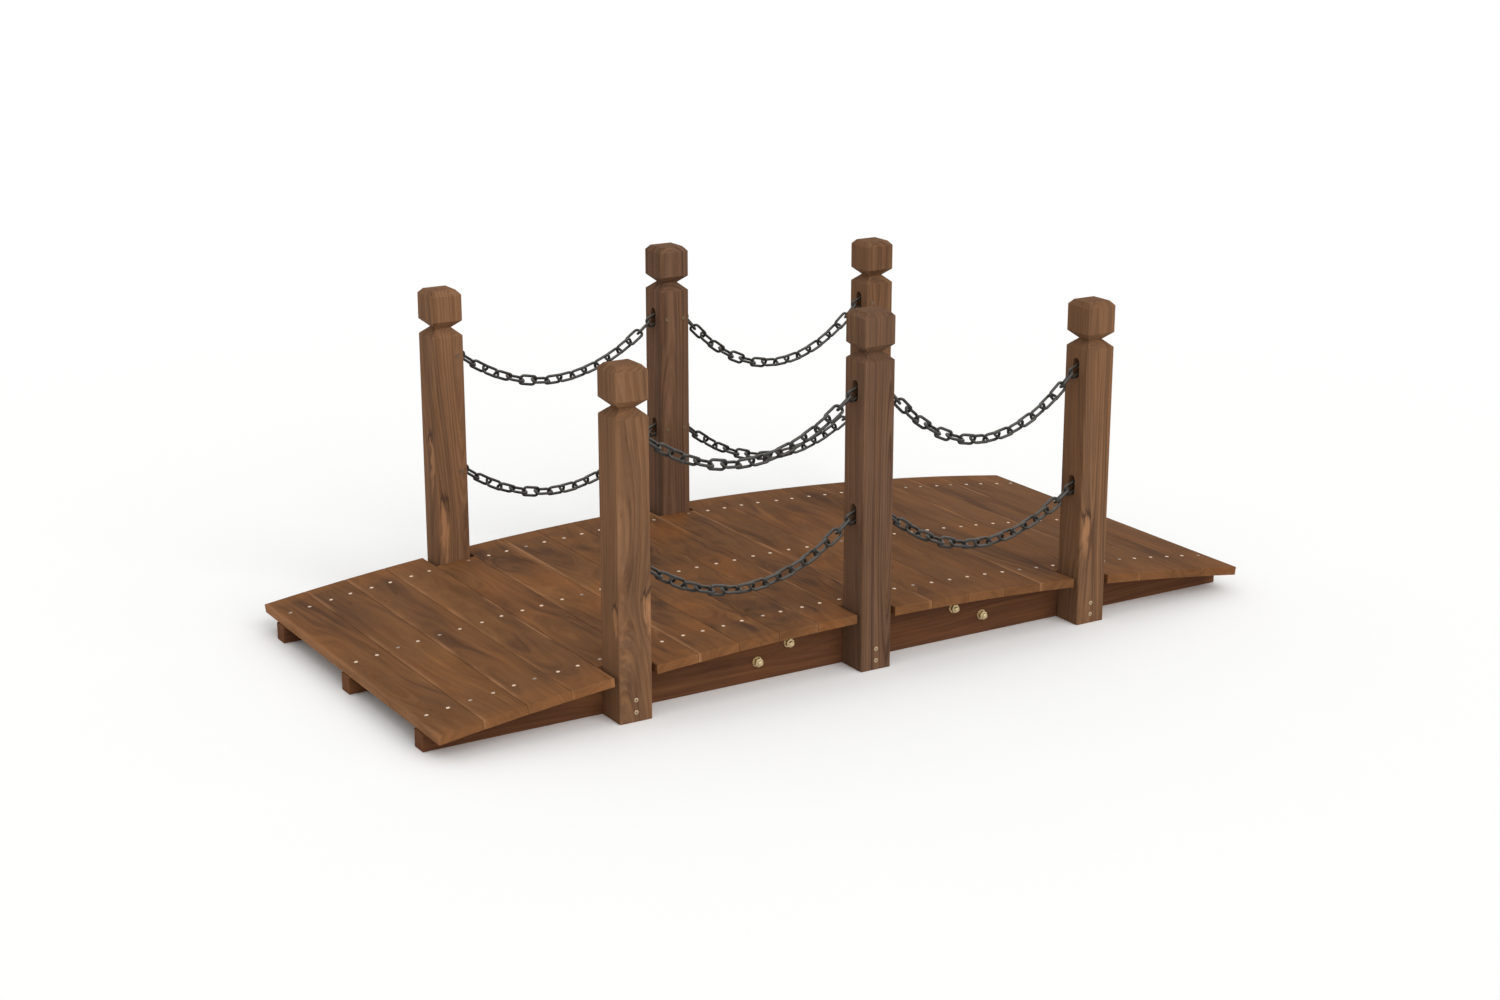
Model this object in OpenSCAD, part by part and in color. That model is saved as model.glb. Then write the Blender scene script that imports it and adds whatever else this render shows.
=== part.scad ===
// Arched wooden garden bridge with six posts and chain rails.
// X runs along the bridge, Y across it and Z up. The bearers' feet stand on Z = 0.

/* [Deck] */
// Length over the deck and the bearers
bridge_length = 1500; // [1200:10:2100]
// Length of a full deck board, which is the width of the bridge
board_length = 682; // [640:1:900]
// Number of deck boards
board_count = 21; // [21:2:29]
// Thickness of a deck board
board_thickness = 14; // [10:0.5:24]
// Open joint between two deck boards
board_joint = 0.6; // [0.5:0.1:4]
// Eased edge along the top of a deck board
board_ease = 0.5; // [0.3:0.1:3]

/* [Bearers] */
// Thickness of a bearer
bearer_thickness = 28; // [22:1:45]
// Height of a bearer at its ends
bearer_end_height = 28; // [20:1:40]
// Height of a bearer at the crown of the arch
bearer_crown_height = 82; // [70:1:140]
// Distance between the outer faces of the two outer bearers
bearer_spread = 573; // [500:1:620]
// Where the two halves of each bearer meet, measured from the middle of the bridge
bearer_joint_x = 30; // [-60:1:60]

/* [Splice plates] */
// Length of the plate behind each bearer joint
splice_length = 500; // [300:5:600]
// Height of the plate
splice_height = 54; // [40:1:60]
// Thickness of the plate
splice_thickness = 18; // [10:1:28]
// Height of the plate's lower edge above the ground
splice_lift = 14; // [5:1:20]

/* [Posts] */
// Side of the square posts
post_side = 55; // [45:1:60]
// Full height of the four end posts
end_post_height = 541; // [420:1:800]
// Extra height of the two middle posts
middle_post_extra = 31; // [0:1:60]
// Deck boards from the middle post to an end post
post_board_step = 6; // [5:1:8]
// Eased vertical edges of the posts
post_ease = 1.5; // [0.5:0.1:4]

/* [Post caps] */
// Height of the straight sides of the cap
cap_side_height = 42.5; // [25:0.5:60]
// Height of the sloped top edge of the cap
cap_chamfer_height = 8.3; // [4:0.1:16]
// How far the sloped top edge of the cap runs in
cap_chamfer_inset = 7.5; // [4:0.1:16]
// Height of the V cut that forms the neck
neck_height = 25.5; // [15:0.5:40]
// Side of the square neck at its thinnest
neck_side = 26; // [16:1:40]

/* [Chain slots] */
// Width of an oblong slot
slot_width = 16; // [10:0.5:20]
// Height of an oblong slot, over its round ends
slot_height = 34; // [30:0.5:50]
// Depth of the blind slots in the end posts
slot_depth = 32; // [26:1:40]
// Height of the upper slots' middle above the ground, in the end posts
end_slot_height = 431.5; // [390:0.5:440]
// Extra height of the slots in the middle posts
middle_slot_extra = 17; // [0:0.5:30]
// Distance between the middles of the upper and lower slots
slot_pitch = 196.5; // [140:0.5:220]

/* [Chains] */
// Diameter of the link wire
link_wire = 4.8; // [3:0.1:5.5]
// Spacing of the links along the chain
link_pitch = 24.3; // [18:0.1:32]
// Outer width of a link
link_width = 20.5; // [18:0.5:26]
// Radius of a link's corners, at the middle of the wire
link_corner = 6; // [4:0.1:7]
// Length of a chain over its straight span
chain_slack = 1.09; // [1.06:0.01:1.2]
// The same for the upper chains of the right bay, which hang lower
loose_chain_slack = 1.15; // [1.06:0.01:1.25]
// Play between two hooked links, and between an end link and its pin
link_play = 0.55; // [0.2:0.05:0.9]
// Slope of the end links inside their slots, in degrees
end_link_slope = 21; // [10:0.5:22]

/* [Chain pins] */
// Diameter of the pin across each slot
pin_diameter = 3.5; // [2.5:0.1:5]
// Depth of the pin's end link behind the face of the post
pin_inset = 13; // [11:0.5:15]
// Length of pin that is held in the wood beyond the slot
pin_bite = 12; // [6:0.5:15]
// Diameter of the pin's head
pin_head_diameter = 6.5; // [5:0.1:9]
// Height of the pin's head
pin_head_height = 1.2; // [0.6:0.1:3]

/* [Fits] */
// Clearance where one piece seats on another
seat_gap = 0.3; // [0.1:0.05:0.6]

/* [Hidden] */
wood = "#6f4c33";
dark_wood = "#5d3f2b";
chain_black = "#2b2926";
pin_steel = "#b9a37a";
arc_faces = 1440;
wire_faces = 24;
round_faces = 48;
solver_steps = 40;
lean_links = 18;

half_length = bridge_length / 2;
arch_rise = bearer_crown_height - bearer_end_height;
arch_radius = (half_length * half_length + arch_rise * arch_rise) / (2 * arch_rise);
arch_centre_z = bearer_crown_height - arch_radius;
board_bottom_radius = arch_radius + seat_gap;
board_top_radius = board_bottom_radius + board_thickness;
board_angle = 2 * asin(half_length / board_top_radius) / board_count;
board_width = 2 * board_bottom_radius * tan(board_angle / 2) - board_joint;
middle_board = (board_count + 1) / 2;
board_inner_reach = bearer_spread / 2 - seat_gap;

post_middle_y = bearer_spread / 2 + seat_gap + post_side / 2;
post_span = board_top_radius * sin(post_board_step * board_angle);
slot_round = slot_width / 2;

link_long = link_pitch + link_wire + link_play;
link_wide = link_width - link_wire;
pin_lead = (pin_diameter + link_play) / 2;

SIDES = ["front", "back"];
ENDS = ["left", "middle", "right"];
BAYS = ["left", "right"];
LEVELS = ["upper", "lower"];

function board_name(i) = str("deck_board_", i < 10 ? "0" : "", i);
function post_name(side, end) = str("post_", side, "_", end);
function bearer_name(row, half) = str("bearer_", row, "_", half);
function splice_name(row) = str("splice_plate_", row);
function chain_name(side, bay, level) = str("chain_", side, "_", bay, "_", level);

ROWS = ["front", "middle", "back"];

function side_sign(side) = side == "front" ? -1 : 1;
function end_x(end) = end == "left" ? -post_span : end == "right" ? post_span : 0;
function row_y(row) = row == "middle" ? 0 : side_sign(row) * (bearer_spread - bearer_thickness) / 2;
function post_height(end) = end_post_height + (end == "middle" ? middle_post_extra : 0);
function slot_z(end, level) =
    end_slot_height + (end == "middle" ? middle_slot_extra : 0) - (level == "lower" ? slot_pitch : 0);
function is_short_board(i) = abs(i - middle_board) == post_board_step || i == middle_board;

// Chain curve: the slope of link i grows evenly with its distance from the lowest link
function sum(list) = list * [for (item = list) 1];
function link_slope(bend, low, i) = atan(bend * (i - low));
function curve_run(bend, low, n) = sum([for (i = [0:n - 1]) cos(link_slope(bend, low, i))]);
function curve_rise(bend, low, n) = sum([for (i = [0:n - 1]) sin(link_slope(bend, low, i))]);
function find_low(bend, n, rise, lo, hi, step = 0) =
    let (mid = (lo + hi) / 2)
    step == solver_steps ? mid
    : curve_rise(bend, mid, n) > rise ? find_low(bend, n, rise, mid, hi, step + 1)
    : find_low(bend, n, rise, lo, mid, step + 1);
function find_bend(n, run, rise, lo, hi, step = 0) =
    let (mid = (lo + hi) / 2)
    step == solver_steps ? mid
    : curve_run(mid, find_low(mid, n, rise, -n, 2 * n), n) > run ? find_bend(n, run, rise, mid, hi, step + 1)
    : find_bend(n, run, rise, lo, mid, step + 1);

// Slopes of all links of a chain between two anchors: end links at their set slope, the rest on the curve
function chain_slopes(n, run, rise) =
    let (
        free = n - 2,
        free_run = run / link_pitch - 2 * cos(end_link_slope),
        free_rise = rise / link_pitch,
        bend = find_bend(free, free_run, free_rise, 0, 2),
        low = find_low(bend, free, free_rise, -free, 2 * free)
    )
    concat([-end_link_slope], [for (i = [0:free - 1]) link_slope(bend, low, i)], [end_link_slope]);
function chain_points(start, slopes) = [
    for (i = 0, p = start; i <= len(slopes); i = i + 1,
         p = i > len(slopes) ? p : p + link_pitch * [cos(slopes[i - 1]), sin(slopes[i - 1])]) p
];
function anchor(end, bay, level) =
    let (toward = end == "left" || (end == "middle" && bay == "right") ? 1 : -1)
    [end_x(end) + toward * (post_side / 2 - pin_inset), slot_z(end, level)];
function chain_start(bay, level) = anchor(bay == "left" ? "left" : "middle", bay, level);
function chain_stop(bay, level) = anchor(bay == "left" ? "middle" : "right", bay, level);
function slack(bay, level) = bay == "right" && level == "upper" ? loose_chain_slack : chain_slack;
function link_count(bay, level) =
    round(slack(bay, level) * norm(chain_stop(bay, level) - chain_start(bay, level)) / link_pitch);

// Turn of link i about the chain: neighbours are a quarter turn apart, end links stand upright on their pins,
// and the whole chain twists a little along its length. The leans are set for a chain of lean_links links.
function link_turn(i, n) =
    let (
        way = n % 2 == 0 ? 1 : -1,
        lean = lookup(i * (lean_links - 1) / (n - 1), [
            [0, 45], [1, 68], [2, 86], [3, 92], [4, 86], [5, 62], [7, 60], [8, 72], [9, 74],
            [12, 66], [14, 62], [15, 62 + 20 * way], [16, 62 + 46 * way], [17, 90 + 45 * way]
        ])
    )
    lean + (i % 2 == 0 ? 45 : -45);

module eased_bar(width, length, height, ease) {
    half = width / 2;
    translate([0, length / 2, 0])
        rotate([90, 0, 0])
            linear_extrude(length)
                polygon([
                    [-half, 0], [half, 0], [half, height - ease],
                    [half - ease, height], [ease - half, height], [-half, height - ease]
                ]);
}

module deck_board(i) {
    length = is_short_board(i) ? 2 * board_inner_reach : board_length;
    color(wood)
        translate([0, 0, arch_centre_z])
            rotate([0, (i - middle_board) * board_angle, 0])
                translate([0, 0, board_bottom_radius])
                    eased_bar(board_width, length, board_thickness, board_ease);
}

module bearer_half(row, half) {
    start = half == "left" ? -half_length : bearer_joint_x;
    stop = half == "left" ? bearer_joint_x : half_length;
    color(dark_wood)
        translate([0, row_y(row) + bearer_thickness / 2, 0])
            rotate([90, 0, 0])
                intersection() {
                    translate([start, 0, 0])
                        cube([stop - start, bearer_crown_height, bearer_thickness]);
                    translate([0, arch_centre_z, 0])
                        cylinder(r = arch_radius, h = bearer_thickness, $fn = arc_faces);
                }
}

// The plate lies against the face of the bearer that looks toward the middle of the bridge
module splice_plate(row) {
    inward = row == "front" ? 1 : -1;
    middle_y = row_y(row) + inward * (bearer_thickness + splice_thickness) / 2;
    color(dark_wood)
        translate([bearer_joint_x - splice_length / 2, middle_y - splice_thickness / 2, splice_lift])
            cube([splice_length, splice_thickness, splice_height]);
}

module post_outline(height) {
    half = post_side / 2;
    cap_top = height - cap_chamfer_height;
    cap_bottom = cap_top - cap_side_height;
    neck_z = cap_bottom - neck_height / 2;
    shaft_top = cap_bottom - neck_height;
    right = [
        [half, 0], [half, shaft_top], [neck_side / 2, neck_z], [half, cap_bottom],
        [half, cap_top], [half - cap_chamfer_inset, height]
    ];
    polygon(concat(right, [for (i = [len(right) - 1:-1:0]) [-right[i][0], right[i][1]]]));
}

module post_body(height) {
    half = post_side / 2;
    intersection() {
        translate([0, half, 0])
            rotate([90, 0, 0])
                linear_extrude(post_side)
                    post_outline(height);
        translate([-half, 0, 0])
            rotate([90, 0, 90])
                linear_extrude(post_side)
                    post_outline(height);
        linear_extrude(height)
            polygon([
                for (turn = [0, 90, 180, 270])
                    for (corner = [[half, half - post_ease], [half - post_ease, half]])
                        [corner[0] * cos(turn) - corner[1] * sin(turn),
                         corner[0] * sin(turn) + corner[1] * cos(turn)]
            ]);
    }
}

// Oblong cut along X, from x = 0 to the given length
module slot_cut(length) {
    rise = slot_height / 2 - slot_round;
    rotate([0, 90, 0]) {
        for (way = [-1, 1])
            translate([way * rise, 0, 0])
                cylinder(r = slot_round, h = length, $fn = round_faces);
        translate([-rise, -slot_round, 0])
            cube([2 * rise, slot_width, length]);
    }
}

module post_slots(end) {
    half = post_side / 2;
    margin = 1;
    start = end == "left" ? half - slot_depth : -half - margin;
    stop = end == "right" ? slot_depth - half : half + margin;
    for (level = LEVELS)
        translate([start, 0, slot_z(end, level)])
            slot_cut(stop - start);
}

module post(side, end) {
    color(wood)
        difference() {
            translate([end_x(end), side_sign(side) * post_middle_y, 0]) {
                difference() {
                    post_body(post_height(end));
                    post_slots(end);
                }
            }
            for (bay = BAYS)
                for (level = LEVELS)
                    pin_at_ends(side, bay, level, end, pin_diameter + seat_gap, 0);
        }
}

// One link, in the XY plane, along X
module link() {
    straight_x = link_long / 2 - link_corner;
    straight_y = link_wide / 2 - link_corner;
    radius = link_wire / 2;
    for (turn = [0, 180])
        rotate([0, 0, turn]) {
            translate([-straight_x, link_wide / 2, 0])
                rotate([0, 90, 0])
                    cylinder(r = radius, h = 2 * straight_x, $fn = wire_faces);
            translate([link_long / 2, straight_y, 0])
                rotate([90, 0, 0])
                    cylinder(r = radius, h = 2 * straight_y, $fn = wire_faces);
            for (way = [-1, 1])
                translate([straight_x, way * straight_y, 0])
                    rotate([0, 0, way < 0 ? -90 : 0])
                        rotate_extrude(angle = 90, $fn = wire_faces)
                            translate([link_corner, 0])
                                circle(r = radius, $fn = wire_faces);
        }
}

module chain(side, bay, level) {
    n = link_count(bay, level);
    start = chain_start(bay, level);
    stop = chain_stop(bay, level);
    slopes = chain_slopes(n, stop[0] - start[0], stop[1] - start[1]);
    points = chain_points(start, slopes);
    color(chain_black)
        for (i = [0:n - 1]) {
            middle = (points[i] + points[i + 1]) / 2;
            translate([middle[0], side_sign(side) * post_middle_y, middle[1]])
                rotate([link_turn(i, n), -slopes[i], 0])
                    link();
        }
}

// Pin through a post from its inner face, across the slot and into the wood beyond
module pin(side, place, diameter, head_height) {
    inner_y = side_sign(side) * (post_middle_y - post_side / 2);
    reach = post_side / 2 + slot_round + pin_bite;
    translate([place[0], inner_y, place[1]])
        rotate([side_sign(side) * -90, 0, 0]) {
            cylinder(d = diameter, h = reach, $fn = wire_faces);
            if (head_height > 0)
                translate([0, 0, -head_height])
                    cylinder(d = pin_head_diameter, h = head_height, $fn = wire_faces);
        }
}

// The pins of one chain that stand in the named post
module pin_at_ends(side, bay, level, end, diameter, head_height) {
    lead = pin_lead * [cos(end_link_slope), -sin(end_link_slope)];
    at_start = end == (bay == "left" ? "left" : "middle");
    at_stop = end == (bay == "left" ? "middle" : "right");
    if (at_start)
        pin(side, chain_start(bay, level) + lead, diameter, head_height);
    if (at_stop)
        pin(side, chain_stop(bay, level) + [-lead[0], lead[1]], diameter, head_height);
}

module chain_pins() {
    color(pin_steel)
        for (side = SIDES)
            for (bay = BAYS)
                for (level = LEVELS)
                    for (end = ENDS)
                        pin_at_ends(side, bay, level, end, pin_diameter, pin_head_height);
}

for (i = [1:board_count])
    deck_board(i);
for (row = ROWS)
    for (half = BAYS)
        bearer_half(row, half);
for (row = ROWS)
    splice_plate(row);
for (side = SIDES)
    for (end = ENDS)
        post(side, end);
for (side = SIDES)
    for (bay = BAYS)
        for (level = LEVELS)
            chain(side, bay, level);
chain_pins();
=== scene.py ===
import math
import random
from typing import NamedTuple

import bpy
from bpy.props import FloatProperty, FloatVectorProperty, IntProperty, PointerProperty
from mathutils import Euler, Matrix, Vector


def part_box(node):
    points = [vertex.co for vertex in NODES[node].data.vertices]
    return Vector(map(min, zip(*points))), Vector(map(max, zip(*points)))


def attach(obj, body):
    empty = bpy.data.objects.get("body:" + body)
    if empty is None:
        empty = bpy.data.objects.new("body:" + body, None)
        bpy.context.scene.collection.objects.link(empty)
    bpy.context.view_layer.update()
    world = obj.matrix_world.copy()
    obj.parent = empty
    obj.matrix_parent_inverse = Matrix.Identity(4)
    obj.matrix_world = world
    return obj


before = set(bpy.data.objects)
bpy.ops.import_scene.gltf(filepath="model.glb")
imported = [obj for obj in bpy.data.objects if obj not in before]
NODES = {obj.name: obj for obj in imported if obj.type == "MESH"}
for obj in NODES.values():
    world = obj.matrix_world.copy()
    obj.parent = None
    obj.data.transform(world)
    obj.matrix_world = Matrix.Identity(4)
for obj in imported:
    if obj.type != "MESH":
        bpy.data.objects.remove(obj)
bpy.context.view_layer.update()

bl_info = {
    "name": "Garden bridge finish",
    "version": (1, 0, 0),
    "blender": (4, 5, 0),
    "location": "3D View > Sidebar > Bridge",
    "description": "Stained wood, black chain and small fasteners of a garden bridge, on a plain stage",
    "category": "Object",
}

MM = 0.001
UP = Vector((0, 0, 1))
WHITE = (1, 1, 1, 1)


def nodes_named(start):
    """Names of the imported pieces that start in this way, in order."""
    return sorted(name for name in NODES if name.startswith(start))


BOARDS = nodes_named("deck_board_")
BEARERS = nodes_named("bearer_")
PLATES = nodes_named("splice_plate_")
POSTS = nodes_named("post_")
CHAINS = [name for name in nodes_named("chain_") if name != "chain_pins"]
ROWS = ("front", "middle", "back")
# Boards that end short of this stand between two posts
BOARD_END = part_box(BOARDS[0])[1].y - 5 * MM
# Faces of a board that rise more than this are its top
BOARD_TOP_RISE = 0.98

# Turns that lay a piece's length along local Z
ALONG_X = (0, -math.pi / 2, 0)
ALONG_Y = (math.pi / 2, 0, 0)
ALONG_Z = (0, 0, 0)


class Knot(NamedTuple):
    """A knot in a post: its place in half widths from the middle of the section, its height and its size."""
    x: float
    y: float
    height: float
    half_width: float
    half_length: float


KNOTS = {
    "post_front_left": (Knot(-1.0, -0.6, 0.165, 0.010, 0.024), Knot(0.85, -1.0, 0.178, 0.012, 0.03),
                        Knot(0.2, 1.0, 0.3, 0.011, 0.03)),
    "post_front_right": (Knot(-0.6, -1.0, 0.165, 0.011, 0.036), Knot(1.0, 0.3, 0.33, 0.011, 0.03),
                         Knot(0.1, 1.0, 0.21, 0.010, 0.026)),
    "post_back_left": (Knot(-1.0, -0.3, 0.26, 0.012, 0.05), Knot(-0.6, -1.0, 0.15, 0.011, 0.05),
                       Knot(0.3, 1.0, 0.2, 0.011, 0.03)),
    "post_back_right": (Knot(-1.0, 0.5, 0.19, 0.012, 0.03), Knot(0.6, 1.0, 0.34, 0.011, 0.03),
                        Knot(1.0, -0.4, 0.14, 0.010, 0.026)),
}


class Noise(NamedTuple):
    """A noise: cells in a metre on each axis, layers of detail and strength of the finer layers."""
    cells: tuple
    detail: float = 2.0
    roughness: float = 0.5


class Figure(NamedTuple):
    """How strongly the marks of the wood show and how they run."""
    # Strength of the ring lines, the smoky streaks, the warm patches and the pale streaks
    lines: float
    smoke: float
    glow: float
    gleam: float
    # Streaks in a metre, across the grain and along it
    band: float
    stretch: float
    # How far the heart of the tree bends, and its steepest slope to the side
    wander: float
    lean: float

    def noise(self, across, along, detail=2.0, roughness=0.5):
        """Noise with so many times the cells that the streaks have, across the grain and along it."""
        cells = (across * self.band, across * self.band, along * self.stretch)
        return Noise(cells, detail, roughness)

    def towards(self, other, share):
        """A figure on the way from this one to another."""
        return Figure(*(mine + (yours - mine) * share for mine, yours in zip(self, other)))


class Timber(NamedTuple):
    """Where a piece of wood lies, the spacing of its rings, and its half sizes and knots where used."""
    centre: Vector
    turn: tuple
    ring: float
    half_width: float = 0.0
    half_length: float = 0.0
    knots: tuple = ()


CALM_BOARD = Figure(lines=0.12, smoke=0.6, glow=0.35, gleam=0.4, band=24, stretch=2.4, wander=0.06, lean=0.1)
LIVELY_BOARD = CALM_BOARD._replace(smoke=0.75, glow=0.75, band=34, stretch=6.4)
BEARER = Figure(lines=0.3, smoke=0.4, glow=0.15, gleam=0.2, band=46, stretch=2.8, wander=0.03, lean=0.02)
END_POST = BEARER._replace(lines=0.26, smoke=0.52, glow=0.12, band=100, stretch=1.6)
MIDDLE_POST = END_POST._replace(smoke=0.7)
# The liveliest figure is on this board, counted from 0, and fades out over so many boards
LIVELIEST = 8
LIVELY_REACH = 6
# Multiples of the seed that keep the draws of boards, bearers and posts apart
BOARD_DRAWS = 1000
BEARER_DRAWS = 2000
POST_DRAWS = 3000

# How light the stains are, darkest first, and how much darker each board is than the one before it, a painted
# shade along the deck
BOARD_TONES = (0.96, 1.06)
BOARD_PAINTED_SHADE = 0.011
BEARER_TONES = (0.88, 1.0)
POST_TONES = {"post_front_left": 0.94, "post_front_middle": 0.78, "post_front_right": 0.92,
              "post_back_left": 1.06, "post_back_middle": 0.83, "post_back_right": 0.9}

# Places of a piece's heart and noises, in metres, and the slope of the heart through its thickness
HEART_ACROSS = (-0.03, 0.03)
HEART_DEPTH = (0.02, 0.06)
HEART_SLOPE = (-0.05, 0.05)
NOISE_SHIFT = (2, 30)
# Depth of the plainer wood at a board's ends, and how far its long edges are rubbed, none where negative
PLAIN_DEPTH = (0.03, 0.07)
EDGE_RUB = (-0.5, 0.9)
RUB_WIDTH = 9 * MM
RUB_MARGIN = 1 * MM
# Width and strength of the pale edges, which are wear and a painted highlight, strength of the plain ends and
# knot arcs, gloss and relief
WEAR_AND_HIGHLIGHT_RADIUS = 2.2 * MM
WEAR_AND_HIGHLIGHT_STRENGTH = 0.5
PLAIN_WARMTH = 0.25
KNOT_ARC = 0.9
WOOD_SPECULAR = 0.03
WOOD_ROUGHNESS = 0.62
WOOD_RELIEF = 0.25 * MM

# Noises of the wood, with the grain along Z
SWAY_CELLS = 9
GATHER_CELLS = 11
RIPPLE = Noise((60, 60, 9))
CLOUD = Noise((22, 22, 5), 3.0, 0.55)
FIBRE = Noise((900, 900, 11), 3.0, 0.65)
PORE = Noise((1500, 1500, 45), 1.0)
KNOT_WAVE = Noise((4, 4, 30), 1.0)
KNOT_FRAY = Noise((300, 300, 24), 3.0, 0.6)
RUB_PATCH = Noise((12, 12, 7))
WEAR_AND_HIGHLIGHT_PATCH = Noise((70, 70, 25))

# Noises of the metal
METAL_CLOUD = Noise((140, 140, 140), 3.0, 0.6)
METAL_SPECK = Noise((900, 900, 900), 2.0, 0.6)
METAL_RUB = Noise((220, 220, 220))
METAL_DULL = Noise((37, 37, 37), 0.0)
METAL_RELIEF = 0.05 * MM

# Steps of the crowned heads: inset in radii, and lift in rises of a nail or radii of a bolt
NAIL_CROWN = ((0.28, 0.3), (0.3, 0.14))
BOLT_DOME = ((0.12, 0.16), (0.2, 0.16), (0.28, 0.12), (0.25, 0.05))
# How far a nail is sunk, and how far out of its place, its row and its lean it may be
NAIL_SUNK = 0.4 * MM
NAIL_SLIP = 1.2 * MM
NAIL_STRAY = 1.5 * MM
NAIL_LEAN = 0.05
# A thread is rings, each a narrowed and a widened step
THREAD_RINGS = 4
THREAD_ROOT = 0.86
# A face looks up or aside by its normal, and is in the middle within this share of a radius
LOOKS_UP = 0.9
LOOKS_ASIDE = 0.1
MIDDLE_SHARE = 0.1


def paint(code):
    """A colour written as six hex digits, as the linear values that shaders take."""
    parts = [int(code[i:i + 2], 16) / 255 for i in (0, 2, 4)]
    linear = [c / 12.92 if c <= 0.04045 else ((c + 0.055) / 1.055) ** 2.4 for c in parts]
    return (*linear, 1.0)


def colour_property(name, description, code):
    return FloatVectorProperty(name=name, description=description, subtype="COLOR", size=4, min=0, max=1,
                               default=paint(code))


def length_property(name, description, millimetres):
    return FloatProperty(name=name, description=description, subtype="DISTANCE", unit="LENGTH",
                         default=millimetres * MM)


def place_property(name, description, place):
    return FloatVectorProperty(name=name, description=description, subtype="TRANSLATION", unit="LENGTH",
                               default=place)


def angle_property(name, description, degrees):
    return FloatProperty(name=name, description=description, subtype="ANGLE", default=math.radians(degrees))


class BridgeWood(bpy.types.PropertyGroup):
    """Stain and figure of the timber."""
    deck: colour_property("Deck stain", "Brown of the deck boards between the ring lines", "765134")
    post: colour_property("Post stain", "Greyer brown of the end posts between the ring lines", "7b5a41")
    tall_post: colour_property("Middle post stain", "Grey-brown of the middle posts between ring lines",
                               "785a46")
    dark: colour_property("Late wood", "Stained colour of the ring lines", "50331f")
    smoky: colour_property("Smoky streaks", "Grey-brown streaks that follow the grain", "443229")
    warm: colour_property("Warm patches", "Orange-brown patches where the stain is thin", "865632")
    # Wood of wear and of pale streaks; on the edges it also paints a highlight
    wear_and_highlight: colour_property("Worn edges", "Paler wood of worn edges and of pale streaks", "96693f")
    pale: colour_property("Knots", "Pale tan wood inside the knots and on rubbed board edges", "a67854")
    bearer: colour_property("Bearer stain", "Deeper red-brown of the bearers and plates", "64412d")
    board_ring: length_property("Board ring spacing", "Distance between ring lines in the deck boards", 6.5)
    post_ring: length_property("Post ring spacing", "Distance between ring lines in the posts", 5.5)
    bearer_ring: length_property("Bearer ring spacing", "Distance between ring lines in the bearers", 6.0)
    seed: IntProperty(name="Seed", description="Start of the random draws", default=11, min=0)


class BridgeFasteners(bpy.types.PropertyGroup):
    """Nails, screws and bolts."""
    nail_head: length_property("Nail head", "Diameter of a deck nail's head", 6.1)
    nail_rise: length_property("Nail rise", "Height of a nail head's rim above the board", 0.5)
    nail_spread: length_property("Nail spread", "Distance of each nail from the middle of its board", 17.3)
    front_row: length_property("Front row", "Front nail row, in from the middle of its bearer", 10.0)
    screw_head: length_property("Screw head", "Diameter of a foot screw's head", 7.0)
    screw_low: length_property("Lower screw", "Height of the lower foot screw", 14.9)
    screw_high: length_property("Upper screw", "Height of the upper foot screw", 34.2)
    nut_flats: length_property("Nut", "Width across the flats of a nut", 13.0)
    nut_thickness: length_property("Nut thickness", "Thickness of a nut", 6.5)
    bolt: length_property("Bolt", "Diameter of a bolt's thread", 8.0)
    bolt_end: length_property("Bolt end", "Length of thread beyond the nut", 4.5)
    washer: length_property("Washer", "Outer diameter of a washer", 17.0)
    washer_thickness: length_property("Washer thickness", "Thickness of a washer at its rim", 1.4)
    bolt_inset: length_property("Bolt inset", "Outer bolt, in from the end of its plate", 34.5)
    bolt_step: length_property("Bolt step", "Distance from the outer to the inner bolt", 57.0)
    bolt_low: length_property("Lower bolts", "Height of the outer bolts", 31.2)
    bolt_high: length_property("Upper bolts", "Height of the inner bolts", 52.8)
    brass: colour_property("Nail colour", "Pale cream metal of the nails", "ead1b6")
    screw: colour_property("Screw colour", "Duller cream metal of the foot screws", "b7a07e")
    dull: colour_property("Dull nails", "Dull metal of the nails beside the back posts", "a48a74")
    pin: colour_property("Pin colour", "Brown steel of the chain pins", "6b553f")
    zinc: colour_property("Nut colour", "Yellow zinc of nuts, bolts and washers", "cbb68a")


class BridgeChain(bpy.types.PropertyGroup):
    """Finish of the chains."""
    black: colour_property("Black", "Painted colour of the links", "2b2926")
    # Steel grey of rubbed edges and a dusting, which also paints the highlights and top light of the links
    bare_steel_and_top_light: colour_property("Bare steel", "Rubbed and dusty tops of the links", "59554d")


class BridgeStage(bpy.types.PropertyGroup):
    """Camera, floor and lamps."""
    camera: place_property("Camera", "Place of the camera", (-2.0613, -3.3319, 1.3407))
    tilt: angle_property("Tilt", "How far the camera looks down", 16.34)
    heading: angle_property("Heading", "Turn of the camera from the bridge's cross direction", -31.457)
    lens: FloatProperty(name="Lens", description="Focal length on a 36 mm sensor", unit="CAMERA",
                        default=58.83)
    floor: colour_property("Floor", "Pale floor under the bridge", "fbfbfa")
    floor_size: length_property("Floor size", "Side of the square floor", 80000)
    floor_drop: length_property("Floor drop", "Depth of the floor under the bridge's feet", 0.5)
    fade_start: length_property("Fade start", "Distance at which the floor starts to turn white", 1200)
    fade_end: length_property("Fade end", "Distance at which the floor is all white", 3200)
    sky: FloatProperty(name="Sky", description="Strength of the even light from all round", default=0.8)
    key: FloatProperty(name="Key lamp", description="Strength of the soft lamp in front", default=1.4)
    key_place: place_property("Key place", "Place of the soft lamp, which faces the origin", (0.4, -3.2, 2.1))
    key_spread: angle_property("Key spread", "Apparent width of the soft lamp", 50)


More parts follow.
